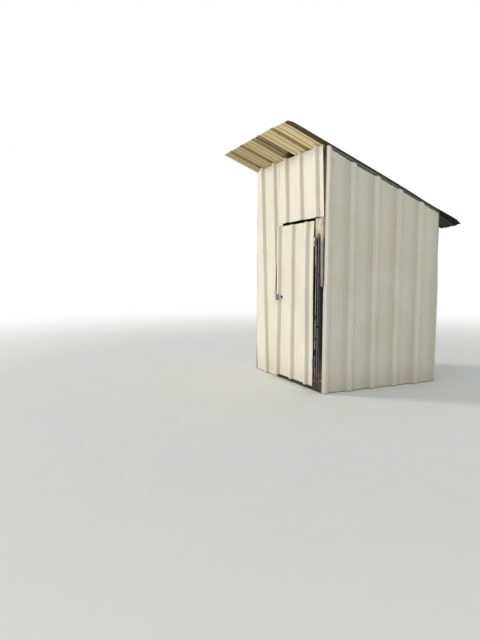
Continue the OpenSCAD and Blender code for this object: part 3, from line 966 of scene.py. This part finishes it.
def bent_tail(s, t):
    """The sheets droop in waves towards the back edge, by up to 24 mm left of the right edge,
    and less at the front, where the lip is bent down over the last 9 cm"""
    wave = 0.5 + 0.5 * np.sin(s * 19 + 0.8) * np.cos(s * 7.3)
    back = limited((t - roof_length + 0.25) / 0.25) ** 2
    front = limited((0.20 - t) / 0.20) ** 2
    droop = 0.024 * limited((0.77 - s) / 0.24) * (0.75 + 0.25 * wave)
    return droop * back + 0.003 * wave * front + lip(s) * limited(1.03 - t / 0.09) ** 2


def lapping_tail(s, t):
    """The right sheet's left edge is lifted by a sheet's thickness to lap over the left sheet"""
    return bent_tail(s, t) - lap_lift * limited((0.094 - s) / 0.015)


roof_sheets = {
    "right": ([wall_face - d for d in (0.645, 0.340, 0.035)], wall_face - 0.706, 0.750),
    "left": ([wall_face - d for d in (1.385, 1.080, 0.775)], -0.813, wall_face - 0.690),
}
purlin_lines = [(y + timber_width / 2 - roof_tip_y) / math.cos(roof_slope) for y in purlin_fronts]
roof_screws = []
for side, (ribs, first, last) in roof_sheets.items():
    tail = lapping_tail if side == "right" else bent_tail
    screws = [(r + screw_side, t) for r in ribs if r + screw_side < last - 0.01
              for t in purlin_lines]
    roof_screws.append(screws)
    piece("roof_" + side,
          [ribbed(ribs, first, last, roof_start, roof_end, roof_place, 20 + len(side), screws,
                  sway=0.0008, sink=tail, share=crushed, low_height=0.005)],
          roof_coats, ["roof_sheet_" + side], "cream_sheet")


# Sheet screws: hexagon heads of zinc-plated steel with a flange and a sealing washer, one row at
# each rail, plate and purlin beside the ribs. The walls' are painted like the sheets and have
# begun to rust, and the roof's are bare and dull.

def turned(profile, spots, directions=(0, -1, 0), sides=12, flats=()):
    """A profile of radii and heights turned about an axis at each spot, which points straight
    out from the front if no directions are given. The rings whose numbers are in flats are
    hexagons: their radius is divided by the cosine of the angle from the middle of a flat. The
    first and last points of the profile lie on the axis and close it."""
    profile = np.array(profile)
    angle = np.arange(sides) * 2 * np.pi / sides
    across = np.ones((len(profile), sides))
    across[list(flats)] = 1 / np.cos((angle + np.pi / 6) % (np.pi / 3) - np.pi / 6)
    spots = np.array(spots, float)
    directions = np.zeros_like(spots) + directions
    helper = np.where(np.abs(directions[:, 2:]) > 0.9, [[1.0, 0, 0]], [[0, 0, 1.0]])
    u = np.cross(helper, directions)
    u = u / np.linalg.norm(u, axis=1)[:, None]
    w = np.cross(directions, u)
    ring = profile[1:-1]
    radius = ring[:, 0][:, None] * across[1:-1]
    points = (spots[:, None, None] + radius[None, ..., None] * (
        np.cos(angle)[None, None, :, None] * u[:, None, None]
        + np.sin(angle)[None, None, :, None] * w[:, None, None])
        + ring[:, 1][None, :, None, None] * directions[:, None, None])
    poles = spots[:, None] + profile[[0, -1], 1][None, :, None] * directions[:, None]
    count, rings = len(spots), len(ring)
    number = np.arange(rings * sides).reshape(rings, sides)
    after = np.roll(number, -1, 1)
    quads = np.stack([number[:-1], after[:-1], after[1:], number[1:]], -1).reshape(-1, 4)
    bottom, top = rings * sides, rings * sides + 1
    triangles = np.concatenate([
        np.stack([after[0], number[0], np.full(sides, bottom)], -1),
        np.stack([number[-1], after[-1], np.full(sides, top)], -1)])
    size = rings * sides + 2
    shift = (np.arange(count) * size)[:, None, None]
    every = np.concatenate([points.reshape(count, -1, 3), poles], 1).reshape(-1, 3)
    return {"points": every, "quads": (quads[None] + shift).reshape(-1, 4),
            "triangles": (triangles[None] + shift).reshape(-1, 3), "values": {}}


def metal(name, bare, dull, rust, rusting, metallic, spangle=90, covered=None):
    """Plated or blackened steel: flakes of two tones from cells, clouded by noise, with rust in
    specks and patches. Where it is covered, that gives the colour and the share left bare."""
    finish, tree, surface = new_finish(name)
    place = shade(tree, "TexCoord", out=3)
    cells = shade(tree, "TexVoronoi", {"Vector": place, "Scale": spangle}, out=1)
    cells = axes(cells)[0]
    cloud = speckle(place, 60, 5)
    fleck = speckle(place, 420, 4)
    base = over(times(cells, 0.5), bare, dull)
    base = over(between(cloud, 0.40, 0.70, 0.6), base, dull)
    red = times(between(cloud, 0.44, 0.66, rusting), between(fleck, 0.36, 0.58))
    base = over(red, base, rust)
    if covered:
        base, left = covered(base, place, cloud)
        tree.links.new(times(left, metallic), surface.inputs["Metallic"])
    else:
        surface.inputs["Metallic"].default_value = metallic
    rough = plus(plus(times(red, 0.35), times(fleck, 0.25)), 0.38)
    dress(surface, base, rough, fleck, 0.25, 0.0005)
    return finish


zinc = metal("zinc_plate", (188, 190, 190), (150, 152, 152), (128, 84, 54), 0.5, 0.65)
painted_zinc = metal("screw_paint", (228, 223, 203), (210, 204, 184), (150, 114, 84), 0.2, 0.0)
screw_head = [(0, -0.0014), (0.0075, -0.0014), (0.0075, 0.0008), (0.0062, 0.0014),
              (0.0054, 0.0014), (0.0052, 0.0022), (0.0040, 0.0022), (0.0040, 0.0052),
              (0.0034, 0.0058), (0, 0.0058)]


def screwed(spots, place):
    """Screw heads at the given sheet coordinates, along the sheet's outward direction"""
    spots = np.array(spots)
    base = place(spots[:, 0], spots[:, 1], np.full(len(spots), face_out))
    tip = place(spots[:, 0], spots[:, 1], np.full(len(spots), face_out + 0.1))
    return turned(screw_head, base, (tip - base) / 0.1, flats=(6, 7, 8))


fixings = partial(piece, slot="zinc_hardware", crease=30)
fixings("wall_screws",
        [screwed(header_screws, header_place), screwed(left_screws, left_place),
         screwed(side_screws, side_place(1)), screwed(side_screws, side_place(-1)),
         screwed(back_screws, back_place)], [painted_zinc])
fixings("roof_screws", [screwed(spots, roof_place) for spots in roof_screws], [zinc])


# Door: one cream sheet with three ribs, screwed to a frame of 2 by 4 inch timbers with a rail
# across the middle and a brace under it. It swings outwards on two butt hinges, and is warped,
# so that its free bottom corner stands out from the wall.

door_ribs = [0.458 - k * rib_pitch for k in (2, 1, 0)]
door_x0, door_x1, door_z0, door_z1 = -0.178, 0.577, 0.045, 1.777
door_back = 0.765


def warp(x, z):
    """How far the door stands out at a point: nothing near the hinges and over the latch, and
    15 mm at the free bottom corner"""
    free = limited((0.30 - x) / (0.30 - door_x0))
    return 0.015 * free ** 1.5 * limited((0.90 - z) / 0.85)


def bulge(x, z):
    """How far the sheet stands off its frame: up to 9 mm along the hinged edge, where it laps
    over the upper hinge's leaf, less towards the top, and nothing below 0.45 m"""
    near = limited((x - 0.26) / 0.20)
    return (0.009 * near ** 1.5 * limited((z - 0.45) / 0.55)
            * (1 - 0.6 * limited((z - 1.60) / 0.12)))


def warped_board(foot, head, seed):
    """A board of the door's frame that follows the warp"""
    made = board(foot, head, seed)
    made["points"][:, 1] -= warp(made["points"][:, 0], made["points"][:, 2])
    return made


def door_place(s, t, out):
    """A point of the door's sheet stands out from the face of its timber frame"""
    return np.stack([s, -(door_back + out + warp(s, t) + bulge(s, t)), t], -1)


door_screws = [(r + screw_side, t) for r in door_ribs for t in (0.166, 0.944, 1.728)]
piece("door_panel",
      [ribbed(door_ribs, door_x0, door_x1, lambda s, rise: door_z0 + 0 * s,
              lambda s, rise: door_z1 + 0 * s, door_place, 31, door_screws, sway=0.0012)],
      sheet_coats, ["door_sheet"], "cream_sheet", "door")
fixings("door_screws", [screwed(door_screws, door_place)], [painted_zinc], body="door")


def painted_shade_edge(base, grain, place, cloud):
    """The hinged edge of the door's frame is painted nearly black for the shade in the gap there
    """
    return over(between(axes(place)[0], 0.568, 0.575, 0.97), base, (20, 17, 16))


stile_wood = wood("stile_timber", *rough_pine, painted_shade_edge)
stile_x0, stile_x1, stile_low, stile_high = -0.166, 0.576, 0.122, 1.773
frame_back = -0.727
piece("door_stile_timbers",
      [warped_board(*ends((x, -door_back, stile_low),
                          (x + timber_width, frame_back, stile_high), 2), 110 + k)
       for k, x in enumerate((stile_x0, stile_x1 - timber_width))],
      [stile_wood], ["door_stiles"], "framing_timber", "door")
rail_x0, rail_x1, middle_rail = stile_x0 + timber_width, stile_x1 - timber_width, 0.900
piece("door_rail_timbers",
      [warped_board(*ends((rail_x0, -door_back, z), (rail_x1, frame_back, z + timber_width), 0),
                    114 + k)
       for k, z in enumerate((stile_low, middle_rail, stile_high - timber_width))],
      [framing_wood], ["door_rails"], "framing_timber", "door")
brace_foot, brace_cut = stile_low + timber_width, timber_width * 1.2


def brace_end(x, low, high):
    """The upright face at which the brace is cut off against a stile"""
    return ends((x, -door_back, low), (x, frame_back, high), 0)[0]


piece("door_brace_timber",
      [warped_board(brace_end(rail_x1, brace_foot, brace_foot + brace_cut),
                    brace_end(rail_x0, middle_rail - brace_cut, middle_rail), 118)],
      [framing_wood], ["door_brace"], "framing_timber", "door")


# Hinges: two butt hinges of plated steel, with three knuckles on one pin each. The leaves are
# the model's own, with countersunk screws let into them.

hinge_pin = 0.5845


def hinge_paint_rust_and_light(base, place, cloud):
    """Only the upper hinge's knuckles are bare, with a painted highlight on the top one, and the
    lower's are dark rust. The door leaves are painted over, and the frame leaves are dark like
    the stained jamb and painted nearly black for the shade there."""
    x, _, height = axes(place)
    from_pin = minus(x, hinge_pin)
    leaf = between(sums("ABSOLUTE", from_pin), 0.006, 0.0075)
    # Door leaves are painted cream; the frame leaves' near-black is stain and painted shade.
    cover = over(between(from_pin, -0.001, 0.001), (210, 204, 184), (44, 40, 39))
    low = between(height, 1.0, 0.8)
    # Painted highlight: the top knuckle is near white.
    base = over(between(height, 1.574, 1.580), base, (246, 248, 250))
    scale = over(cloud, (44, 36, 33), (82, 56, 42))
    base = over(leaf, over(low, base, scale), cover)
    left = times(minus(1.0, leaf), minus(1.0, low))
    return base, left


hinge_steel = metal("hinge_steel", (196, 198, 198), (160, 162, 162),
                    (116, 76, 50), 0.4, 0.15, covered=hinge_paint_rust_and_light)
for node in ("hinge_leaves_frame", "hinge_leaves_door"):
    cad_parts[node].data.materials.clear()
    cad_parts[node].data.materials.append(hinge_steel)
dome = [(0, -0.0006), (0.0042, -0.0006), (0.0042, 0.0002), (0.0034, 0.0009), (0.0018, 0.0013),
        (0, 0.0014)]
hinge_rows = [z + d for z in (0.250, 1.515) for d in (0.013, 0.0445, 0.076)]
for name, x, y, body in (("hinge_screws_frame", 0.609, -0.7675, "hut"),
                         ("hinge_screws_door", 0.560, -0.7705, "door")):
    spots = [(x + 0.006 * (k % 2), y, z) for k, z in enumerate(hinge_rows)]
    fixings(name, [turned(dome, spots)], [hinge_steel], body=body)


# Latch: a dull steel hasp plate over the door's first rib, and a black iron knob on a plated
# round rose beside it, whose near-white tone is a painted highlight. Nothing on it moves.

black_iron = metal("black_iron", (38, 37, 38), (58, 56, 55), (92, 60, 42), 0.35, 0.35, 160)
hasp_steel = metal("hasp_steel", (106, 112, 124), (80, 86, 98), (84, 62, 50), 0.4, 0.3, 120)
# The rose's near-white tone stands for a painted highlight beside the knob.
rose_highlight_steel = metal("rose_highlight_steel", (232, 236, 242), (204, 208, 216), (110, 84, 66), 0.2, 0.2, 120)
plate_low, plate_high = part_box("latch_plate")
plate_screws = [(x, plate_low[1], z) for x in (plate_low[0] + 0.007, plate_high[0] - 0.007)
                for z in (plate_low[2] + 0.008, plate_high[2] - 0.008)]
piece("latch_keeper",
      [board(*ends(plate_low, plate_high, 1), 120, step=0.004, row=0.0008, radius=0.004,
             relief=0.0002)],
      [hasp_steel], ["latch_plate"], "zinc_hardware", "door")
fixings("latch_screws", [turned(dome, plate_screws)], [hasp_steel], body="door")
knob_low, knob_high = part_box("latch_knob")
knob_spot = ((knob_low[0] + knob_high[0]) / 2, knob_high[1], (knob_low[2] + knob_high[2]) / 2)
rose = turned([(0, 0), (0.0200, 0), (0.0200, 0.0012), (0.0190, 0.0021), (0.0170, 0.0025),
               (0, 0.0025)], [knob_spot], sides=40)
rose["kinds"] = np.ones(len(rose["quads"]) + len(rose["triangles"]), int)
knob = turned([(0, 0.0020), (0.0110, 0.0020), (0.0092, 0.0035), (0.0088, 0.0062),
               (0.0112, 0.0076), (0.0144, 0.0090), (0.0150, 0.0110), (0.0146, 0.0132),
               (0.0124, 0.0150), (0.0084, 0.0158), (0.0040, 0.0160), (0, 0.0160)],
              [knob_spot], sides=40)
piece("latch_knob_turned", [rose, knob], [black_iron, rose_highlight_steel], ["latch_knob"],
      "black_iron", "door", crease=50)


# Floor, light and camera: a plain pale floor that fades to white, a soft key light from the left
# of the door, a weak broad one from the front, even light from all round, and the camera where
# the photograph was taken.

def seen_itself(tree):
    """1 where the camera looks straight at a thing or at its reflection, and 0 elsewhere"""
    path = tree.nodes.new("ShaderNodeLightPath")
    return sums("MAXIMUM", path.outputs["Is Camera Ray"], path.outputs["Is Glossy Ray"])


floor_finish, tree, surface = new_finish("studio_floor")
place = shade(tree, "TexCoord", out=3)
pale = over(speckle(place, 3, 3), (226, 225, 222), (231, 230, 228))
tree.links.new(pale, surface.inputs["Base Color"])
surface.inputs["Roughness"].default_value = 0.9
away = shade(tree, "VectorMath", {0: place}, out=1, operation="LENGTH")
fade = times(between(away, 3.0, 11.0), seen_itself(tree))
white = shade(tree, "Emission", {"Color": (1, 1, 1, 1), "Strength": 1.0})
both = shade(tree, "MixShader", {0: fade, 1: surface.outputs["BSDF"], 2: white})
tree.links.new(both, tree.nodes["Material Output"].inputs["Surface"])
floor_half, floor_level = 60, -0.0005
floor_mesh = bpy.data.meshes.new("studio_floor")
floor_mesh.from_pydata([(x * floor_half, y * floor_half, floor_level)
                        for x, y in ((-1, -1), (1, -1), (1, 1), (-1, 1))], [], [[0, 1, 2, 3]])
floor_mesh.materials.append(floor_finish)
floor = bpy.data.objects.new("studio_floor", floor_mesh)
bpy.context.scene.collection.objects.link(floor)

world = bpy.data.worlds.new("studio_light")
bpy.context.scene.world = world
world.use_nodes = True
tree = world.node_tree
tree.nodes.clear()
around = shade(tree, "Background", {"Color": (0.93, 0.97, 1.0, 1), "Strength": 0.60})
backdrop = shade(tree, "Background", {"Color": (1, 1, 1, 1), "Strength": 1.0})
both = shade(tree, "MixShader", {0: seen_itself(tree), 1: around, 2: backdrop})
tree.links.new(both, tree.nodes.new("ShaderNodeOutputWorld").inputs["Surface"])


def aimed(obj, turn, fall, roll=0.0):
    """Turns an object so that its -Z axis looks from the front to the back, turned to the left
    and down by two angles in degrees, and its X axis is level, less a small roll"""
    turn, fall, roll = (math.radians(angle) for angle in (turn, fall, roll))
    forward = np.array([-math.sin(turn) * math.cos(fall), math.cos(turn) * math.cos(fall),
                        -math.sin(fall)])
    level = np.cross(forward, [0, 0, 1.0])
    level = level / np.linalg.norm(level)
    up = np.cross(level, forward)
    side = level * math.cos(roll) + up * math.sin(roll)
    rows = np.eye(4)
    rows[:3, 0], rows[:3, 1], rows[:3, 2] = side, np.cross(side, forward), -forward
    obj.rotation_mode = "QUATERNION"
    obj.rotation_quaternion = Matrix(rows.tolist()).to_quaternion()


for name, energy, spread, tint, turn, fall in (
        ("key_light", 1.64, 14, (1.0, 0.96, 0.87), -40, 20),
        ("front_light", 0.48, 60, (1.0, 0.98, 0.95), 12, 14)):
    light = bpy.data.objects.new(name, bpy.data.lights.new(name, "SUN"))
    light.data.energy = energy
    light.data.angle = math.radians(spread)
    light.data.color = tint
    aimed(light, turn, fall)
    bpy.context.scene.collection.objects.link(light)
camera = bpy.data.objects.new("camera", bpy.data.cameras.new("camera"))
bpy.context.scene.collection.objects.link(camera)
camera.data.sensor_fit = "AUTO"
camera.data.sensor_width = 36
camera.data.lens = 27.76
camera.location = (4.961, -3.596, 1.242)
aimed(camera, turn=90 - 24.37, fall=5.45, roll=0.07)
bpy.context.scene.camera = camera

bpy.context.scene.view_settings.view_transform = "Standard"
